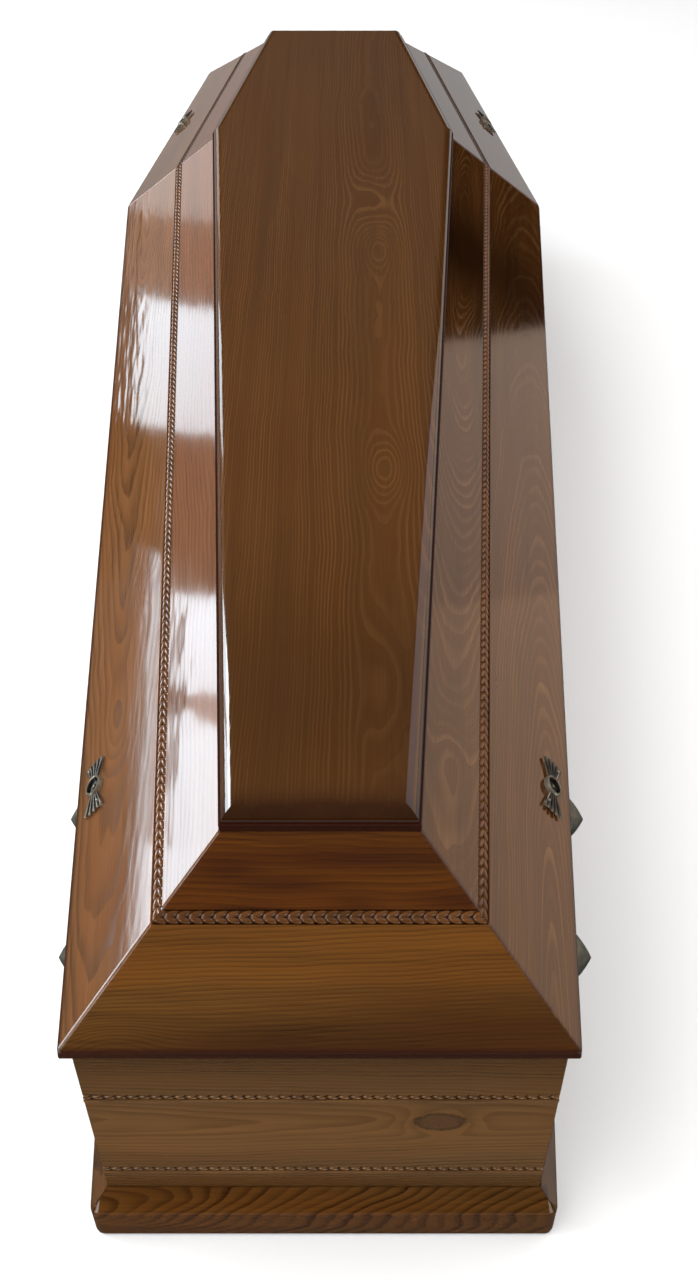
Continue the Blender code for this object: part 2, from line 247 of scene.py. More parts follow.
def wood(name, place, seed, light, dark, stain, lines=None, contrast=0.8, variation=1.0,
         heart=(0.0, -0.09), lean=(0.0, 0.0), ring=0.0045, wander=0.012, curls=(), knots=(),
         dark_patches_and_shade=(), ripples=(), dents=(), gloss=0.035, relief=0.010, lacquer=0.08, shaded_hollows=False,
         nose=False, edge=False):
    """Stained pine under lacquer, sawn from a log whose heart runs along the board.

    place is the board's frame, and seed makes its grain its own.  The colours are those of the
    light wood, the dark late wood and the stain's cloudy patches; lines is a paler late wood,
    which takes less stain on some boards.  contrast is how strongly the rings show, and
    variation how much the tone changes between streaks.

    heart is the log's middle, across the board and out of its face, lean how much that moves
    for each metre along, ring the width of a year and wander how far the heart strays.  curls,
    knots and dark_patches_and_shade are lists of (along, across, reach along, reach across,
    strength): curls and knots bend the rings, and dark_patches_and_shade are patches painted
    darker: painted shade under the foot wall's rim, just above its base and on the panel's
    rounded foot edge, and a plain darker tone elsewhere.  ripples, where the lacquer is uneven,
    and dents, which are low swellings, are such lists with a height in millimetres.

    gloss is the roughness of the lacquer, relief the height of the late wood and lacquer the
    height of its waves, in millimetres.  shaded_hollows paints shade on what lies below the
    face, nose darkens the rounded lower edge, and edge the upright edge of the panel.
    """
    finish = Finish(name)
    inside = place.inverted()
    board = finish.add("Mapping", {}, {"Vector": finish.coords, "Location": inside.translation,
                                       "Rotation": inside.to_euler("XYZ")})
    along, across, out = finish.split(board)

    def distance_squared(u, v, reach_u, reach_v):
        """The square of the distance from a spot of the face, with its reaches as units."""
        far_u, far_v = (along - u) / reach_u, (across - v) / reach_v
        return far_u * far_u + far_v * far_v

    def near(*spot):
        """1 at a spot of the face, fading to 0 around it."""
        return finish.add("Math", {"operation": "EXPONENT"}, {0: -distance_squared(*spot)})

    # The heart of the log wanders a little as it runs along the board
    sways = []
    for turn in (0, 1):
        place_along = along + (seed * 7.3 + turn * 31.7)
        sways.append(finish.add("TexNoise", {"noise_dimensions": "1D"},
                                {"W": place_along, "Scale": 2.6, "Detail": 2.0}) - 0.5)
    from_heart = across - heart[0] - along * lean[0] - sways[0] * (wander * 2)
    depth = out - heart[1] - along * lean[1] - sways[1] * (wander * 2)
    radius = (from_heart * from_heart + depth * depth) ** 0.5

    # The rings, bent by slow drift, fine ripples and whatever grew in their way
    shift = (seed * 3.1, seed * 1.7, seed * 0.9)
    seeded = finish.add("VectorMath", {"operation": "ADD"}, {0: board, 1: shift})
    drift = finish.noise(finish.stretch(seeded, (2.2, 14.0, 14.0)), 1.0, 3.0)
    ripple = finish.noise(finish.stretch(seeded, (16.0, 30.0, 30.0)), 1.0, 1.0)
    rings = radius / ring + (drift - 0.5) * 3.4 + (ripple - 0.5) * 0.8
    for *spot, bend in [*curls, *knots]:
        rings = rings + near(*spot) * bend

    # Each year darkens slowly into its late wood, which ends at once
    year = finish.add("Math", {"operation": "FLOOR"}, {0: rings})
    share = rings - year
    strength = finish.add("TexWhiteNoise", {"noise_dimensions": "1D"}, {"W": year + seed * 13.0})
    growth = finish.step(share, 0.38, 0.88) - finish.step(share, 0.92, 1.0)
    late = growth * (strength * 0.75 + 0.25)

    fibre = finish.noise(finish.stretch(seeded, (11.0, 520.0, 520.0)), 1.0, 2.0, 0.6)
    streak = finish.noise(finish.stretch(seeded, (1.8, 46.0, 46.0)), 1.0, 3.0)
    cloud = finish.noise(finish.stretch(seeded, (3.0, 9.0, 9.0)), 1.0, 2.0)

    tone = finish.blend(finish.step(cloud * 0.65 + streak * 0.35, 0.40, 0.62) * 0.9, light, stain)
    tone = finish.blend(late * contrast, tone, lines or dark)
    # Patches darkened towards the late wood; on the foot wall and the panel's foot edge they are
    # painted shade
    for *spot, amount in dark_patches_and_shade:
        patch_darkening = near(*spot) * (streak + 0.5) * amount
        tone = finish.blend(patch_darkening, tone, [c * 0.8 for c in dark])
    uneven = (fibre - 0.5) * 0.7 + (streak - 0.5) * 1.2 + (cloud - 0.5) * 0.6
    shade = (uneven + (0.45 - share) * 0.25) * variation + 1.0
    grey = finish.add("CombineXYZ", {}, {0: shade, 1: shade, 2: shade})
    tone = finish.blend(1.0, tone, grey, "MULTIPLY")

    # A knot is dark and mottled, with a nearly black ring round it
    for *spot, _ in knots:
        wobble = finish.noise(seeded, 90.0, 3.0) - 0.5
        reach = distance_squared(*spot) ** 0.5 / 0.62 + wobble * 0.45
        mottle = finish.noise(seeded, 260.0, 2.0)
        inside_knot = (1.0 - finish.step(reach, 0.70, 1.05)) * (mottle * 0.5 + 0.6)
        tone = finish.blend(inside_knot, tone, KNOT_TONE)
        bark = finish.step(reach, 0.72, 0.92) - finish.step(reach, 0.98, 1.16)
        tone = finish.blend(bark * (mottle * 0.9 + 0.15), tone, [c * 0.3 for c in dark])

    def darken_below(tone, value, low, high, amount, colour):
        """A colour that takes over where a value sinks from high to low."""
        return finish.blend((1.0 - finish.step(value, low, high)) * amount, tone, colour)

    # Painted shade: what lies below the face, such as the hollows between carved leaves, is
    # darkened
    if shaded_hollows:
        tone = darken_below(tone, out, -0.0019, -0.0009, 0.8, [c * 0.45 for c in dark])
    if nose:
        tone = darken_below(tone, across, 0.0005, 0.0065, 0.85, MAROON)
    if edge:
        tone = darken_below(tone, out, -0.0125, -0.0085, 0.95, MAROON)

    # The surface of the lacquer, in millimetres
    waves = finish.noise(finish.stretch(seeded, (6.0, 24.0, 24.0)), 1.0, 2.0)
    swell = finish.noise(finish.stretch(seeded, (14.0, 90.0, 90.0)), 1.0, 1.0)
    height = late * relief + fibre * 0.004 + waves * lacquer + swell * (lacquer * 0.3)
    for *spot, size in ripples:
        height = height + swell * near(*spot) * size
    for *spot, size in dents:
        height = height + near(*spot) * size
    finish.set(Base_Color=tone, Roughness=late * 0.03 + fibre * 0.04 + gloss,
               Normal=finish.bump(height), IOR=1.5)
    return finish.material


def flat_floor():
    finish = Finish("pale_floor")
    grain = finish.noise(finish.coords, 3.0, 4.0)
    tone = finish.blend(grain * 0.5, (0.90, 0.90, 0.90), (0.88, 0.88, 0.88))
    finish.set(Base_Color=tone, Roughness=0.8, Emission_Color=(1.0, 1.0, 1.0, 1.0),
               Emission_Strength=0.08)
    return finish.material


def cast_bronze(name, deep, body, worn_tone, wear, gloss):
    """Old bronze: nearly black in the hollows, paler where hands rub it."""
    finish = Finish(name)
    mottle = finish.noise(finish.coords, 160.0, 4.0, 0.6)
    fine = finish.noise(finish.coords, 900.0, 2.0)
    bend = finish.add("NewGeometry", {}, {}, "Pointiness")
    tone = finish.blend(finish.step(mottle, 0.35, 0.65), deep, body)
    tone = finish.blend(1.0 - finish.step(bend, 0.42, 0.50), tone, [c * 0.3 for c in deep])
    tone = finish.blend(finish.step(bend, 0.50, 0.58) * wear, tone, worn_tone)
    finish.set(Base_Color=tone, Metallic=0.7, Roughness=mottle * 0.2 + gloss,
               Normal=finish.bump(mottle * 0.08 + fine * 0.02))
    return finish.material


# Modelling

def deselect():
    if bpy.context.object and bpy.context.object.mode != "OBJECT":
        bpy.ops.object.mode_set(mode="OBJECT")
    bpy.ops.object.select_all(action="DESELECT")


def pick(obj):
    deselect()
    obj.select_set(True)
    bpy.context.view_layer.objects.active = obj


def edit_all(obj):
    pick(obj)
    bpy.ops.object.mode_set(mode="EDIT")
    bpy.ops.mesh.select_mode(type="VERT")
    bpy.ops.mesh.select_all(action="SELECT")


def leave_edit():
    bpy.ops.object.mode_set(mode="OBJECT")


def select_edges(obj, rule):
    """Select the edges whose two ends a rule accepts, in edit mode."""
    leave_edit()
    points = [vertex.co for vertex in obj.data.vertices]
    for face in obj.data.polygons:
        face.select = False
    for vertex in obj.data.vertices:
        vertex.select = False
    for edge in obj.data.edges:
        edge.select = bool(rule(points[edge.vertices[0]], points[edge.vertices[1]]))
    bpy.ops.object.mode_set(mode="EDIT")
    bpy.ops.mesh.select_mode(type="EDGE")


def edit_part(obj):
    """Edit mode with the vertices that are already selected."""
    chosen = [vertex.index for vertex in obj.data.vertices if vertex.select]
    for face in obj.data.polygons:
        face.select = False
    for edge in obj.data.edges:
        edge.select = False
    for index in chosen:
        obj.data.vertices[index].select = True
    pick(obj)
    bpy.ops.object.mode_set(mode="EDIT")
    bpy.ops.mesh.select_mode(type="VERT")


def put(obj, matrix):
    """Move a piece's mesh, with its object left at the origin."""
    obj.data.transform(obj.matrix_basis)
    obj.matrix_basis = Matrix.Identity(4)
    obj.data.transform(matrix)
    if matrix.determinant() < 0:
        obj.data.flip_normals()


def copy_piece(obj, name):
    copy = obj.copy()
    copy.data = obj.data.copy()
    copy.name = copy.data.name = name
    bpy.context.scene.collection.objects.link(copy)
    return copy


def join(objects, name):
    pick(objects[0])
    for obj in objects[1:]:
        obj.select_set(True)
    if len(objects) > 1:
        bpy.ops.object.join()
    joined = bpy.context.object
    joined.name = joined.data.name = name
    return joined


def apply_modifier(obj, kind, **settings):
    pick(obj)
    modifier = obj.modifiers.new(kind.lower(), kind)
    for name, value in settings.items():
        setattr(modifier, name, value)
    bpy.ops.object.modifier_apply(modifier=modifier.name)


def smooth(obj, degrees=32):
    pick(obj)
    bpy.ops.object.shade_smooth_by_angle(angle=math.radians(degrees))


def coat(obj, material):
    obj.data.materials.clear()
    obj.data.materials.append(material)


def finish_piece(obj, nodes, material):
    coat(obj, material)
    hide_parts(*nodes)
    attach(obj, "root")


def merged_copy(node, name):
    """A copy of a solid with its corners joined and its flat faces whole."""
    board = copy_piece(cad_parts[node], name)
    board.parent = None
    for key in list(board.keys()):
        del board[key]
    edit_all(board)
    bpy.ops.mesh.remove_doubles(threshold=0.00002)
    bpy.ops.mesh.dissolve_limited(angle_limit=math.radians(0.5))
    leave_edit()
    return board


def mitre_planes(index):
    """A point and the direction across each end of a board: its start, then its far end."""
    planes = []
    for corner, neighbour in ((index, index - 1), (index + 1, index + 1)):
        onward = (edge_direction(index) + edge_direction(neighbour)).normalized()
        planes.append((RIM[corner % 6], onward))
    return planes


def ease_mitres(board, index, place):
    """Sink the face a little towards each mitre, as sanding and lacquer leave it."""
    for side, (spot, onward) in zip((1, -1), mitre_planes(index)):
        edit_all(board)
        bpy.ops.mesh.bisect(plane_co=spot + onward * (side * EASE_WIDTH), plane_no=onward)
        leave_edit()
        for vertex in board.data.vertices:
            near_mitre = abs((vertex.co - spot).dot(onward)) < EASE_WIDTH / 2
            vertex.select = near_mitre and (place.inverted() @ vertex.co).z > -EASE_WIDTH / 2
        edit_part(board)
        bpy.ops.transform.translate(value=place.to_3x3() @ Vector((0, 0, -EASE_DEPTH)))
        leave_edit()


def round_corners(board, index, place):
    """Round a base moulding's two corners in plan, less and less towards the wall."""
    along = edge_direction(index)
    for side, (spot, onward) in zip((1, -1), mitre_planes(index)):
        turn = math.acos(along.dot(onward))
        corner = plan_corner(index if side > 0 else index + 1, WALL_SETBACK - BASE_PROJECTION)
        reach = BASE_CORNER * math.tan(turn)
        for step in range(BASE_CORNER_CUTS):
            start = reach - BASE_CORNER * math.sin(turn * step / BASE_CORNER_CUTS)
            edit_all(board)
            bpy.ops.mesh.bisect(plane_co=corner + along * (side * start), plane_no=along)
            leave_edit()
        for vertex in board.data.vertices:
            share = min(max(1 + (place.inverted() @ vertex.co).z / BASE_PROJECTION, 0), 1)
            start = side * (vertex.co - corner).dot(along)
            if abs((vertex.co - spot).dot(onward)) < GAP:
                vertex.co += UP.cross(onward) * (BASE_CORNER * (1 / math.cos(turn) - 1) * share)
            elif start < reach:
                angle = math.asin(min((reach - start) / BASE_CORNER, 1))
                vertex.co += UP.cross(along) * (BASE_CORNER * (1 - math.cos(angle)) * share)


def dress_board(node, material, arris=0.0009, slope=None, base=None):
    """A board with softened arrises in the place of its solid.

    slope or base is its side and frame, for one whose mitres are eased or corners rounded.
    """
    board = merged_copy(node, node + "_board")
    if slope:
        ease_mitres(board, *slope)
    if base:
        round_corners(board, *base)
    apply_modifier(board, "BEVEL", width=arris, segments=2, limit_method="ANGLE",
                   angle_limit=math.radians(28), use_clamp_overlap=True)
    smooth(board)
    apply_modifier(board, "WEIGHTED_NORMAL", mode="FACE_AREA", weight=90, keep_sharp=True)
    finish_piece(board, [node], material)


# Boards

# The tones of each kind of board
PANEL_TONES = dict(light=(0.066, 0.0245, 0.0050), dark=(0.030, 0.0090, 0.0013),
                   stain=(0.054, 0.0186, 0.0031), lines=(0.122, 0.0510, 0.0135), contrast=0.62,
                   variation=0.6)
FOOT_LOWER_TONES = dict(light=(0.104, 0.0425, 0.0084), dark=(0.044, 0.0138, 0.0018),
                        stain=(0.088, 0.0312, 0.0046), contrast=0.36, variation=1.1)
FOOT_UPPER_TONES = dict(light=(0.080, 0.0235, 0.0018), dark=(0.032, 0.0068, 0.0008),
                        stain=(0.052, 0.0110, 0.0007), contrast=0.16, variation=1.3)
LEFT_LOWER_TONES = dict(light=(0.154, 0.067, 0.0250), dark=(0.088, 0.0330, 0.0090),
                        stain=(0.108, 0.0410, 0.0140), contrast=0.65, lacquer=0.10, relief=0.003)
LEFT_UPPER_TONES = dict(light=(0.140, 0.052, 0.0165), dark=(0.076, 0.0250, 0.0060),
                        stain=(0.112, 0.036, 0.0090), contrast=0.6, lacquer=0.24, relief=0.007)
# The right side, right shoulder and head boards: darker partly as painted shade for the side turned
# away from the windows
RIGHT_TONES_WITH_SHADE = dict(light=(0.056, 0.0200, 0.0042), dark=(0.022, 0.0068, 0.0012),
                   stain=(0.040, 0.0120, 0.0020), lines=(0.145, 0.0660, 0.0220), contrast=0.62,
                   variation=1.4)
WALL_TONES = dict(light=(0.138, 0.069, 0.0228), dark=(0.070, 0.030, 0.0082),
                  stain=(0.112, 0.051, 0.0150), contrast=0.5, variation=0.8)
BASE_TONES = dict(light=(0.086, 0.0355, 0.0082), dark=(0.020, 0.0060, 0.0010),
                  stain=(0.072, 0.0260, 0.0052), contrast=0.8)
LID_ROPE_TONES = dict(light=(0.105, 0.0395, 0.0100), dark=(0.048, 0.0150, 0.0030),
                      stain=(0.086, 0.0290, 0.0064), contrast=0.4, shaded_hollows=True)
DARK_ROPE_TONES = dict(light=(0.044, 0.016, 0.0040), dark=(0.018, 0.0058, 0.0012),
                       stain=(0.034, 0.012, 0.0025), contrast=0.4, shaded_hollows=True)
WALL_ROPE_TONES = dict(light=(0.150, 0.072, 0.0235), dark=(0.030, 0.012, 0.0030),
                       stain=(0.115, 0.051, 0.0145), contrast=0.4, shaded_hollows=True)

# The lid's boards that aren't as dark as the right side's, whose darkness is partly painted shade
SLOPE_TONES = {
    "lid_lower_foot": FOOT_LOWER_TONES,
    "lid_upper_foot": FOOT_UPPER_TONES,
    "lid_lower_left_side": LEFT_LOWER_TONES,
    "lid_upper_left_side": LEFT_UPPER_TONES,
    "lid_lower_left_shoulder": LEFT_LOWER_TONES,
    "lid_upper_left_shoulder": LEFT_UPPER_TONES,
}

# How the grain runs on the boards that show most
FIGURES = {
    "lid_lower_left_side": dict(heart=(0.048, -0.045), lean=(0.0, -0.055), ring=0.0042,
                                wander=0.005,
                                curls=[(0.229, 0.077, 0.030, 0.016, 3.0),
                                       (0.40, 0.050, 0.05, 0.02, -2.5)],
                                ripples=[(-0.60, 0.035, 0.16, 0.060, 0.30),
                                         (-0.25, 0.020, 0.20, 0.040, 0.22)]),
    "lid_upper_left_side": dict(heart=(0.230, -0.080), ring=0.0036, wander=0.008,
                                dents=[(0.430, 0.144, 0.026, 0.014, 0.22),
                                       (0.500, 0.136, 0.040, 0.012, 0.20),
                                       (0.345, 0.141, 0.034, 0.012, 0.18),
                                       (0.385, 0.160, 0.018, 0.011, 0.10)]),
    "lid_lower_right_side": dict(heart=(0.030, -0.070), lean=(0.0, -0.09), ring=0.0030,
                                 wander=0.006,
                                 dark_patches_and_shade=[(0.42, 0.06, 0.14, 0.2, 0.8)],
                                 curls=[(-0.65, 0.070, 0.09, 0.02, 3.0)],
                                 knots=[(-0.376, 0.095, 0.007, 0.005, 1.5)]),
    "lid_upper_right_side": dict(heart=(0.152, -0.045), lean=(0.0, 0.10), ring=0.0027, wander=0.006,
                                 dark_patches_and_shade=[(0.42, 0.15, 0.13, 0.2, 1.1)],
                                 curls=[(0.225, 0.140, 0.06, 0.02, 3.0),
                                        (-0.51, 0.153, 0.06, 0.02, 2.5)]),
    "lid_lower_foot": dict(heart=(0.190, -0.055), lean=(0.06, 0.0), ring=0.0036, wander=0.010,
                           curls=[(-0.174, 0.008, 0.045, 0.022, 4.0)],
                           dark_patches_and_shade=[(0.15, 0.018, 0.18, 0.032, 0.9), (-0.03, 0.012, 0.14, 0.014, 0.7),
                                  (0.02, 0.000, 0.30, 0.012, 0.8)]),
    "lid_upper_foot": dict(heart=(0.060, -0.060), ring=0.0050, wander=0.016,
                           dark_patches_and_shade=[(0.05, 0.160, 0.14, 0.010, 0.8), (0.12, 0.125, 0.05, 0.012, 0.7),
                                  (-0.03, 0.138, 0.05, 0.008, 0.7),
                                  (-0.06, 0.118, 0.04, 0.004, 0.8),
                                  (-0.08, 0.152, 0.03, 0.012, 0.6),
                                  (0.03, 0.122, 0.03, 0.012, 0.5)]),
    "wall_foot": dict(heart=(0.205, -0.050), lean=(0.0, -0.05), ring=0.0050, wander=0.005,
                      knots=[(0.107, 0.203, 0.036, 0.025, 4.0)],
                      # Painted shade: a dark band under the lid's rim and another just above the
                      # base
                      dark_patches_and_shade=[(0.0, 0.345, 0.9, 0.085, 0.95), (0.0, 0.060, 0.9, 0.050, 0.8)]),
    "base_foot": dict(heart=(0.046, -0.074), lean=(0.0, -0.26), ring=0.0046, wander=0.006),
    "lid_top_panel": dict(heart=(-0.060, -0.046), ring=0.0030, wander=0.007,
                          curls=[(-0.385, -0.063, 0.05, 0.022, -4.0),
                                 (0.23, -0.055, 0.09, 0.03, 5.0),
                                 (-0.70, -0.057, 0.10, 0.020, 3.0),
                                 (0.09, -0.066, 0.05, 0.02, -3.0)],
                          # The first patch is painted shade on the rounded foot edge; the second
                          # darkens the wood towards the foot end
                          dark_patches_and_shade=[(-0.860, 0.0, 0.023, 0.3, 1.5), (-0.72, 0.0, 0.16, 0.4, 0.45)]),
}

for index, side in enumerate(BOARD_NAMES):
    slope = board_frame(index, "slope")
    for number, part in enumerate(("lid_lower_", "lid_upper_")):
        node = part + side
        dress_board(node, wood(node, slope, index + 1 + number * 10, nose=number == 0,
                               **SLOPE_TONES.get(node, RIGHT_TONES_WITH_SHADE), **FIGURES.get(node, {})),
                    slope=(index, slope))
    node = "wall_" + side
    dress_board(node, wood(node, board_frame(index, "wall"), index + 21, **WALL_TONES,
                           **FIGURES.get(node, {})))
    node = "base_" + side
    place = board_frame(index, "base")
    dress_board(node, wood(node, place, index + 31, **BASE_TONES, **FIGURES.get(node, {})),
                base=(index, place))


def outside_corner(point):
    """Whether a point is one of the panel's outermost corners, seen from above."""
    return min((plan_corner(i, SLOPE_RUN).xy - point.xy).length for i in range(6)) < NEAR * 5


def make_panel():
    """The top panel: an upright fillet, a narrow ledge, and an edge rounded over to the flat."""
    deselect()
    bpy.ops.mesh.primitive_circle_add(vertices=6, radius=1.0, fill_type="NGON")
    panel = bpy.context.object
    for index, vertex in enumerate(panel.data.vertices):
        vertex.co = plan_corner(index, SLOPE_RUN) + UP * (PANEL_TOP - PANEL_HEIGHT)
    edit_all(panel)
    bpy.ops.mesh.select_mode(type="FACE")
    bpy.ops.mesh.extrude_region_move(TRANSFORM_OT_translate={"value": (0, 0, PANEL_FILLET)})
    bpy.ops.mesh.inset(thickness=PANEL_LEDGE, depth=0)
    for slope, run in PANEL_ROUND:
        bpy.ops.mesh.inset(thickness=run, depth=run * math.tan(math.radians(slope)))
    bpy.ops.mesh.select_all(action="SELECT")
    bpy.ops.mesh.normals_make_consistent(inside=False)
    fillet_top = PANEL_TOP - PANEL_HEIGHT + PANEL_FILLET
    select_edges(panel, lambda a, b: abs(max(a.z, b.z) - fillet_top) < NEAR
                 and outside_corner(a) and outside_corner(b))
    bpy.ops.mesh.bevel(offset=PANEL_ARRIS, segments=2, affect="EDGES")
    leave_edit()
    smooth(panel, 30)
    select_edges(panel, lambda a, b: abs(a.z - b.z) > NEAR / 10)
    bpy.ops.mesh.mark_sharp()
    leave_edit()
    apply_modifier(panel, "WEIGHTED_NORMAL", mode="FACE_AREA", weight=80, keep_sharp=True)
    return panel


panel = make_panel()
panel.name = panel.data.name = "lid_top_panel_board"
finish_piece(panel, ["lid_top_panel"],
             wood("lid_top_panel", PANEL_FRAME, 41, edge=True, **FIGURES["lid_top_panel"],
                  **PANEL_TONES))

floor_frame = Matrix.Rotation(math.pi / 2, 4, "Z")
coat(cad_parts["floor"], wood("case_floor", floor_frame, 43, gloss=0.5, **WALL_TONES))


# Rope mouldings: leaves carved in two rows, which meet like a plait

STRIP_LENGTH = 1.7
STRIP_BACK = -0.0075
ROPE_PITCH = 0.0104
ROPE_GROUND = -0.0018
LEAF_TOP = 0.0004
LEAF_TILT = math.radians(5)
BAR_ARRIS = 0.0003
WALL_BEAD_ARRIS = 0.0012


def leaf(length, width, slant, row):
    """One carved leaf: a bead that rises from the ground of the strip, its tip over the next.

    slant is its turn on the face, and row the height of its middle above the strip's.
    """
    deselect()
    bpy.ops.mesh.primitive_uv_sphere_add(segments=8, ring_count=6, radius=1.0)
    bead = bpy.context.object
    edit_all(bead)
    bpy.ops.transform.rotate(value=math.pi / 2, orient_axis="Y", center_override=(0, 0, 0))
    bpy.ops.mesh.bisect(plane_co=(0, 0, 0), plane_no=(0, 0, 1), use_fill=True, clear_inner=True)
    bpy.ops.mesh.select_all(action="SELECT")
    bpy.ops.transform.resize(value=(length / 2, width / 2, LEAF_TOP - ROPE_GROUND),
                             center_override=(0, 0, 0))
    leave_edit()
    turn = Matrix.Rotation(-slant, 4, "Z") @ Matrix.Rotation(-LEAF_TILT, 4, "Y")
    put(bead, Matrix.Translation((0, row, ROPE_GROUND)) @ turn)
    return bead


def bar(low, high, arris):
    """A plain strip along X between two (y, z) corners, with its long upper arrises rounded."""
    deselect()
    bpy.ops.mesh.primitive_cube_add(size=1.0)
    strip = bpy.context.object
    edit_all(strip)
    bpy.ops.transform.resize(value=(STRIP_LENGTH, high[0] - low[0], high[1] - low[1]))
    bpy.ops.transform.translate(value=(0, (low[0] + high[0]) / 2, (low[1] + high[1]) / 2))
    select_edges(strip, lambda a, b: abs(a.x - b.x) > STRIP_LENGTH / 2
                 and min(a.z, b.z) > high[1] - NEAR)
    bpy.ops.mesh.bevel(offset=arris, segments=3, profile=0.5, affect="EDGES")
    leave_edit()
    return strip


def cut_mitres(strip, index):
    """Cut a strip's ends where it meets its neighbours, with half a gap at each."""
    for side, (corner, onward) in zip((1, -1), mitre_planes(index)):
        edit_all(strip)
        bpy.ops.mesh.bisect(plane_co=corner + onward * (side * GAP / 2), plane_no=onward,
                            use_fill=True, clear_inner=side > 0, clear_outer=side < 0)
        leave_edit()


def make_rope(node, index, place, patterns, towards, material):
    """One strip of rope moulding in the place of its solid.

    patterns are its plain bars and the pair of leaves that repeats; towards says which way
    the leaves point.
    """
    bars, pair = patterns
    row = copy_piece(pair, node + "_leaves")
    if towards < 0:
        put(row, MIRROR_X)
    count = int(rim_length(index) / ROPE_PITCH) + 2
    put(row, Matrix.Translation((-count * ROPE_PITCH / 2, 0, 0)))
    apply_modifier(row, "ARRAY", fit_type="FIXED_COUNT", count=count, use_relative_offset=False,
                   use_constant_offset=True, constant_offset_displace=(ROPE_PITCH, 0, 0))
    plain = [copy_piece(bar_piece, node + "_bar") for bar_piece in bars]
    strip = join([row, *plain], node + "_carved")
    put(strip, place)
    cut_mitres(strip, index)
    smooth(strip, 50)
    finish_piece(strip, [node], material)


def leaf_pair(upper, name):
    """A leaf and its mirror image in the row below."""
    lower = copy_piece(upper, name + "_lower")
    put(lower, MIRROR_Y)
    return join([lower, upper], name)


lid_pair = leaf_pair(leaf(0.0136, 0.0060, math.radians(20), 0.0025), "lid_pair")
lid_bars = [bar((-0.0049, STRIP_BACK), (0.0056, ROPE_GROUND), BAR_ARRIS)]
wall_pair = leaf_pair(leaf(0.0116, 0.0036, math.radians(18), 0.0017), "wall_pair")
put(wall_pair, Matrix.Translation((0, 0.0022, 0)))
wall_bars = [bar((-0.0010, STRIP_BACK), (0.0057, ROPE_GROUND), BAR_ARRIS),
             bar((-0.0057, STRIP_BACK), (-0.0030, LEAF_TOP), WALL_BEAD_ARRIS)]

for index, side in enumerate(BOARD_NAMES):
    towards = -1 if side.startswith("left") or side == "foot" else 1
    tones = DARK_ROPE_TONES if "shoulder" in side else LID_ROPE_TONES
    node = "lid_rope_" + side
    slope_rope = board_frame(index, "slope") @ Matrix.Translation((0, LID_ROPE_FROM_RIM, 0))
    make_rope(node, index, slope_rope, (lid_bars, lid_pair), towards,
              wood(node, slope_rope, index + 51, **tones))
    for band, height in (("high", UPPER_ROPE_Z), ("low", LOWER_ROPE_Z)):
        node = f"wall_rope_{band}_{side}"
        wall_rope = board_frame(index, "wall") @ Matrix.Translation((0, height, 0))
        make_rope(node, index, wall_rope, (wall_bars, wall_pair), towards,
                  wood(node, wall_rope, index + 61, **WALL_ROPE_TONES))

for pattern in (lid_pair, wall_pair, *lid_bars, *wall_bars):
    bpy.data.objects.remove(pattern)


# Screw covers and handles, cast in bronze

# A cover's place on its board, then its rods, its plates, its nails and its oval seat
COVER_UP_SLOPE = 0.0255
COVER_TILT = math.radians(-4)
COVER_FROM_FOOT = 0.270
COVER_FROM_SHOULDER = 0.277
FINGER_START = 0.0080
FINGER_TIP = 0.0312
FINGER_TIP_STEP = 0.0016
FINGER_THICKNESS = 0.00125
FINGER_LIFT = 0.0026
FINGER_SPREAD = 1.6
FINGER_SWELL = 1.15
FINGER_STEP = math.radians(9.6)
PLATE_SIZE = (0.0215, 0.0060, 0.0018)
PLATE_MIDDLE = 0.01675
PLATE_SPREAD = 3.4
PLATE_SPREAD_AT = 0.029
NAIL_PLACE = 0.0225
NAIL_PROFILE = ((0.0017, 0.002), (0.0017, 0.0046), (0.0014, 0.0053), (0.0007, 0.0057))
SEAT_PROFILE = ((0.0100, 0.0), (0.0100, 0.0040), (0.0094, 0.0052), (0.0085, 0.0060),
                (0.0076, 0.0056), (0.0070, 0.0044), (0.0060, 0.0030), (0.0040, 0.0023),
                (0.0026, 0.0024), (0.0020, 0.0034), (0.0012, 0.0039))
SEAT_OVAL = (1.15, 0.875)
SEAT_TURN = math.radians(30)

# A handle's place on its wall, then its ears and its grip
HANDLE_HEIGHT = 0.172
HANDLE_FROM_FOOT = 0.285
HANDLE_FROM_SHOULDER = 0.270
EAR_SPACING = 0.178
EAR_REACH = 0.047
EAR_WIDTH = 0.074
EAR_HEIGHT = 0.064
EAR_FLANGE = 0.003
# The ring round an ear: how far past the lobe and how far off the wall
EAR_RING = ((0.0044, 0.0003), (0.0050, 0.0010), (0.0048, 0.0022), (0.0040, 0.0030),
            (0.0026, 0.0031), (0.0016, 0.0024), (0.0004, 0.0025))
EAR_STEPS = 14
EAR_STEPS_TO_TIP = 14.6
EAR_FULLNESS = 2.2
EAR_TAPER = 0.95
GRIP_RADIUS = 0.0075
GRIP_SWELL = 0.0012
GRIP_REACH = 0.0275
GRIP_DROP = 0.045
GRIP_SQUARENESS = 3.2


def turned(profile, sides):
    """A round piece built up ring by ring from a list of (radius, height)."""
    deselect()
    radius, height = profile[0]
    bpy.ops.mesh.primitive_circle_add(vertices=sides, radius=radius, fill_type="NGON",
                                      location=(0, 0, height))
    piece = bpy.context.object
    put(piece, Matrix.Identity(4))
    edit_all(piece)
    bpy.ops.mesh.select_mode(type="FACE")
    for next_radius, next_height in profile[1:]:
        bpy.ops.mesh.extrude_region_move(
            TRANSFORM_OT_translate={"value": (0, 0, next_height - height)})
        share = next_radius / radius
        bpy.ops.transform.resize(value=(share, share, 1), center_override=(0, 0, next_height))
        radius, height = next_radius, next_height
    bpy.ops.mesh.select_all(action="SELECT")
    bpy.ops.mesh.normals_make_consistent(inside=False)
    leave_edit()
    return piece


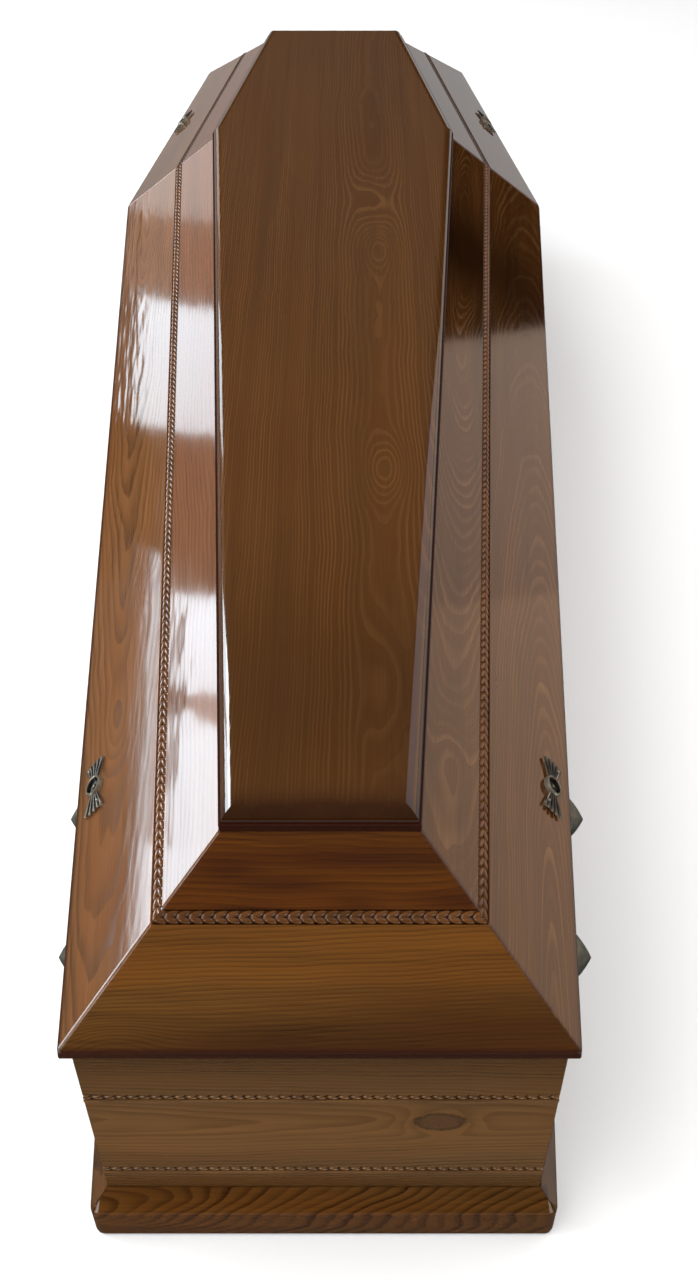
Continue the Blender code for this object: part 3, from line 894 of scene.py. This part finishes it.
def finger(start, end, thickness):
    """A rounded rod that widens from the middle of the cover to its tip."""
    deselect()
    bpy.ops.mesh.primitive_uv_sphere_add(segments=12, ring_count=8, radius=1.0)
    rod = bpy.context.object
    edit_all(rod)
    bpy.ops.transform.rotate(value=math.pi / 2, orient_axis="Y", center_override=(0, 0, 0))
    leave_edit()
    put(rod, Matrix.Diagonal((thickness, thickness, thickness, 1)))
    length = end - start - 2 * thickness
    for vertex in rod.data.vertices:
        vertex.select = vertex.co.x > thickness * 0.1
    edit_part(rod)
    bpy.ops.transform.translate(value=(length, 0, 0))
    bpy.ops.transform.resize(value=(FINGER_SPREAD, FINGER_SPREAD, FINGER_SWELL),
                             center_override=(length, 0, 0))
    select_edges(rod, lambda a, b: abs(a.x - b.x) > length * 0.5)
    bpy.ops.mesh.subdivide(number_cuts=3)
    leave_edit()
    put(rod, Matrix.Translation((start + thickness, 0, 0)))
    return rod


def turned_fan(fan, steps):
    """Turns a piece to its place in the first or the second fan of a cover."""
    return Matrix.Rotation(fan * math.pi + FINGER_STEP * steps, 4, "Z")


def make_cover():
    """One screw cover: two fans of rods that spread from an oval ring with a sunk bowl."""
    parts = []
    for fan in (0, 1):
        for number in range(-2, 3):
            rod = finger(FINGER_START, FINGER_TIP + FINGER_TIP_STEP * number, FINGER_THICKNESS)
            put(rod, turned_fan(fan, number) @ Matrix.Translation((0, 0, FINGER_LIFT)))
            parts.append(rod)
        deselect()
        bpy.ops.mesh.primitive_cube_add(size=1.0)
        plate = bpy.context.object
        edit_all(plate)
        bpy.ops.transform.resize(value=PLATE_SIZE)
        bpy.ops.transform.translate(value=(PLATE_MIDDLE, 0, PLATE_SIZE[2] / 2))
        leave_edit()
        for vertex in plate.data.vertices:
            vertex.select = vertex.co.x > PLATE_MIDDLE
        edit_part(plate)
        bpy.ops.transform.resize(value=(1, PLATE_SPREAD, 1),
                                 center_override=(PLATE_SPREAD_AT, 0, 0))
        leave_edit()
        put(plate, turned_fan(fan, 0))
        parts.append(plate)
        nail = turned(NAIL_PROFILE, 12)
        put(nail, turned_fan(fan, -1.5) @ Matrix.Translation((NAIL_PLACE, 0, 0)))
        parts.append(nail)
    seat = turned(SEAT_PROFILE, 32)
    put(seat, Matrix.Rotation(SEAT_TURN, 4, "Z") @ Matrix.Diagonal((*SEAT_OVAL, 1, 1)))
    parts.append(seat)
    cover = join(parts, "cover_pattern")
    smooth(cover, 40)
    return cover


# Each cover's node, board, distance from the board's start, and the way it leans
cover_spots = (
    ("screw_cover_right_foot", 0, COVER_FROM_FOOT, 1),
    ("screw_cover_right_head", 1, COVER_FROM_SHOULDER, 1),
    ("screw_cover_left_head", 3, rim_length(3) - COVER_FROM_SHOULDER, -1),
    ("screw_cover_left_foot", 4, rim_length(4) - COVER_FROM_FOOT, -1),
)
dark_bronze = cast_bronze("screw_cover_bronze", (0.006, 0.0045, 0.003), (0.022, 0.019, 0.013),
                          (0.38, 0.33, 0.25), 0.85, 0.20)
handle_bronze = cast_bronze("handle_bronze", (0.070, 0.068, 0.048), (0.140, 0.135, 0.098),
                            (0.36, 0.35, 0.28), 0.6, 0.30)
cover_pattern = make_cover()
for node, index, distance, lean in cover_spots:
    cover = copy_piece(cover_pattern, node + "_cast")
    if lean < 0:
        put(cover, MIRROR_X)
    spot = Matrix.Translation((distance - rim_length(index) / 2, COVER_UP_SLOPE, GAP))
    put(cover, board_frame(index, "slope") @ spot @ Matrix.Rotation(lean * COVER_TILT, 4, "Z"))
    finish_piece(cover, [node], dark_bronze)
bpy.data.objects.remove(cover_pattern)


def make_ear():
    """A cast ear: a flange with a rounded rim and a raised ring, then a pointed lobe."""
    half = EAR_WIDTH / 2
    profile = [(half + past, reach) for past, reach in EAR_RING]
    for step in range(1, EAR_STEPS + 1):
        share = math.sin(math.pi / 2 * step / EAR_STEPS_TO_TIP)
        size = (1 - share ** EAR_FULLNESS) ** EAR_TAPER
        reach = EAR_FLANGE + (EAR_REACH - EAR_FLANGE) * share
        profile.append((half * size, reach))
    ear = turned(profile, 32)
    flatter = Matrix.Diagonal((1, 1, EAR_HEIGHT / EAR_WIDTH, 1))
    put(ear, flatter @ Matrix.Rotation(-math.pi / 2, 4, "X"))
    return ear


def make_grip(stations=33, sides=16):
    """The grip: a round bar that dips between the ears and is thickest in the middle."""
    deselect()
    bpy.ops.mesh.primitive_cylinder_add(vertices=sides, radius=1.0, depth=2.0)
    grip = bpy.context.object
    put(grip, Matrix.Rotation(math.pi / 2, 4, "Y"))
    select_edges(grip, lambda a, b: abs(a.x - b.x) > 1)
    bpy.ops.mesh.subdivide(number_cuts=stations - 2)
    leave_edit()
    turns = {}
    for vertex in grip.data.vertices:
        turns.setdefault(round(vertex.co.x, 4), []).append(vertex.co)
    for share, ring in turns.items():
        dip = GRIP_DROP * (1 - abs(share) ** GRIP_SQUARENESS)
        steepness = GRIP_SQUARENESS * abs(share) ** (GRIP_SQUARENESS - 1)
        lean = math.atan(math.copysign(GRIP_DROP * steepness / (EAR_SPACING / 2), share))
        radius = GRIP_RADIUS + GRIP_SWELL * math.cos(math.pi / 2 * share)
        for point in ring:
            out, across = point.y * radius, point.z * radius
            point.x = EAR_SPACING / 2 * share - across * math.sin(lean)
            point.y = GRIP_REACH + out
            point.z = -dip + across * math.cos(lean)
    return grip


def handle_place(index, from_corner):
    """A handle's own frame: X along the wall, Y out of it."""
    along = edge_direction(index)
    place = plan_corner(index, WALL_SETBACK) + along * from_corner + UP * HANDLE_HEIGHT
    return Matrix.Translation(place) @ Matrix.Rotation(math.atan2(-along.y, -along.x), 4, "Z")


def wall_length(index):
    """The length of a wall's outer face."""
    return ((handle_place(index + 1, 0) @ Vector()) - (handle_place(index, 0) @ Vector())).length


left_ear = make_ear()
right_ear = copy_piece(left_ear, "right_ear")
put(left_ear, Matrix.Translation((-EAR_SPACING / 2, 0, 0)))
put(right_ear, Matrix.Translation((EAR_SPACING / 2, 0, 0)))
handle_pattern = join([make_grip(), left_ear, right_ear], "handle_pattern")
smooth(handle_pattern, 40)
handle_spots = (
    ("handle_right_foot", 0, HANDLE_FROM_FOOT),
    ("handle_right_head", 1, HANDLE_FROM_SHOULDER),
    ("handle_left_head", 3, wall_length(3) - HANDLE_FROM_SHOULDER),
    ("handle_left_foot", 4, wall_length(4) - HANDLE_FROM_FOOT),
)
for node, index, distance in handle_spots:
    handle = copy_piece(handle_pattern, node + "_cast")
    put(handle, handle_place(index, distance))
    finish_piece(handle, [node], handle_bronze)
bpy.data.objects.remove(handle_pattern)


# Stage

FLOOR_SIZE = 60.0
LEFT_WALL = -6.0
RIGHT_WALL = 6.0
CEILING = 4.0
DAYLIGHT = (0.80, 0.91, 1.0)
COOL_WHITE = (0.95, 0.97, 1.0)
LILAC = (0.96, 0.88, 1.0)
CAMERA_PLACE = (0.0245, -1.579, 1.3915)
CAMERA_TURN_DOWN = 0.7762
CAMERA_LENS = 38.9

# Upright lights on the side walls: name, wall, y from and to, z from and to, brightness,
# colour, and whether it shines on the pieces as well as being seen in the lacquer
WALL_LIGHTS = (
    ("window_side", LEFT_WALL, (-2.5, 1.35), (0.93, 2.6), 9.0, DAYLIGHT, False),
    ("window_top", LEFT_WALL, (1.4, 5.05), (2.6, 3.8), 18.0, COOL_WHITE, False),
    ("window_ledge", LEFT_WALL, (1.4, 5.4), (0.91, 0.96), 9.5, DAYLIGHT, True),
    ("window_near", LEFT_WALL, (1.4, 3.0), (0.97, 2.6), 12.5, DAYLIGHT, True),
    ("window_next", LEFT_WALL, (3.0, 3.95), (1.04, 2.6), 12.0, DAYLIGHT, True),
    ("window_middle", LEFT_WALL, (4.2, 5.05), (1.06, 2.6), 11.0, DAYLIGHT, True),
    ("window_gap", LEFT_WALL, (3.0, 5.05), (0.97, 1.03), 1.0, (1.0, 0.85, 0.80), True),
    ("window_bar", LEFT_WALL, (3.95, 4.2), (1.10, 2.6), 3.0, (1.0, 0.90, 0.90), True),
    ("window_far", LEFT_WALL, (6.75, 8.4), (0.72, 2.6), 5.8, DAYLIGHT, True),
    ("window_post", LEFT_WALL, (5.05, 6.75), (0.95, 2.6), 0.45, (1.0, 0.80, 0.74), True),
    ("curtain", LEFT_WALL, (8.5, 9.7), (0.5, 2.6), 0.65, (1.0, 0.72, 0.64), True),
    ("far_pane", LEFT_WALL, (9.7, 12.0), (0.5, 2.6), 1.5, (1.0, 0.95, 0.95), True),
    ("sill", LEFT_WALL, (0.8, 5.1), (0.3, 0.92), 0.08, (1.0, 1.0, 1.0), True),
    ("right_wall_far", RIGHT_WALL, (5.0, 8.0), (0.4, 2.4), 1.05, (1.0, 0.78, 0.64), True),
    ("right_wall_near", RIGHT_WALL, (-0.5, 5.0), (0.4, 2.4), 1.5, (1.0, 0.72, 0.54), True),
    ("right_wall_high", RIGHT_WALL, (-0.5, 8.0), (2.4, 9.0), 1.0, LILAC, False),
    ("right_wall_top", RIGHT_WALL, (-0.5, 8.0), (9.0, 20.0), 0.5, LILAC, False),
)


def add_floor():
    deselect()
    bpy.ops.mesh.primitive_plane_add(size=FLOOR_SIZE, location=(0, 0, 0))
    floor = bpy.context.object
    floor.name = "studio_floor"
    coat(floor, flat_floor())
    floor.visible_glossy = False


def add_light(name, middle, size, toward, radiance, colour=(1.0, 1.0, 1.0), mirrored=True,
              shines=True):
    """A rectangular light of a given brightness; size is its width and height.

    One that isn't mirrored leaves no image in the lacquer, and one that doesn't shine is only
    that image.
    """
    data = bpy.data.lights.new(name, "AREA")
    data.shape = "RECTANGLE"
    data.size, data.size_y = size
    data.energy = radiance * math.pi * size[0] * size[1]
    data.color = colour
    light = bpy.data.objects.new(name, data)
    bpy.context.scene.collection.objects.link(light)
    light.location = middle
    light.rotation_euler = (Vector(middle) - Vector(toward)).to_track_quat("Z", "Y").to_euler()
    light.visible_camera = False
    light.visible_glossy = mirrored
    light.visible_diffuse = shines


def wall_light(name, x, y, z, radiance, colour, shines):
    """An upright light on a side wall, between two y and two z values, facing the coffin."""
    middle = (x, sum(y) / 2, sum(z) / 2)
    add_light(name, middle, (y[1] - y[0], z[1] - z[0]), (0, middle[1], middle[2]), radiance,
              colour, shines=shines)


def overhead_light(name, x, y, size, radiance):
    """A light above the coffin, facing straight down, that the lacquer doesn't mirror."""
    add_light(name, (x, y, CEILING), size, (x, y, 0), radiance, mirrored=False)


def add_lights():
    overhead_light("overhead_left", -2.7, -0.75, (3.6, 6.5), 3.6)
    overhead_light("overhead_right", 2.7, -0.75, (3.6, 6.5), 1.5)
    overhead_light("overhead", 0, -1.3, (1.8, 4.4), 2.4)
    add_light("skylight", (-4.6, -1.6, CEILING), (1.6, 2.4), (0, 0, 0), 5.0)
    add_light("front_left", (-4.0, -6.0, 1.2), (2.6, 2.2), (0, -1.0, 0.2), 4.5)
    add_light("front_right", (4.0, -6.0, 1.2), (2.6, 2.2), (0, -1.0, 0.2), 3.0)
    for row in WALL_LIGHTS:
        wall_light(*row)


def add_room():
    """The room round the coffin: dim, with a paler band below eye level; white to the camera."""
    world = bpy.data.worlds.new("room")
    world.use_nodes = True
    room = NodeSet(world.node_tree)
    background = room.tree.nodes["Background"]
    side, _, height = room.split(room.add("TexCoord", {}, {}, "Generated"))
    band = room.step(height, -0.60, -0.16) - room.step(height, -0.10, 0.02)
    horizon = band * (side * 0.5 + 1.0)
    ceiling, ground = room.step(height, 0.18, 0.40), room.step(height, -0.20, -0.60)
    level = horizon * 0.48 + ceiling * 0.12 + ground * 0.06 + 0.005
    seen = room.add("LightPath", {}, {}, "Is Camera Ray")
    feed(room.tree, background.inputs["Strength"], level + seen * (0.95 - level))
    background.inputs["Color"].default_value = (1.0, 1.0, 1.0, 1.0)
    bpy.context.scene.world = world


def add_camera():
    data = bpy.data.cameras.new("camera")
    data.sensor_width = 36.0
    data.lens = CAMERA_LENS
    data.dof.use_dof = False
    camera = bpy.data.objects.new("camera", data)
    bpy.context.scene.collection.objects.link(camera)
    camera.location = CAMERA_PLACE
    camera.rotation_euler = (math.pi / 2 - CAMERA_TURN_DOWN, 0.0, 0.0)
    bpy.context.scene.camera = camera


add_floor()
add_lights()
add_room()
add_camera()
bpy.context.scene.view_settings.view_transform = "Standard"
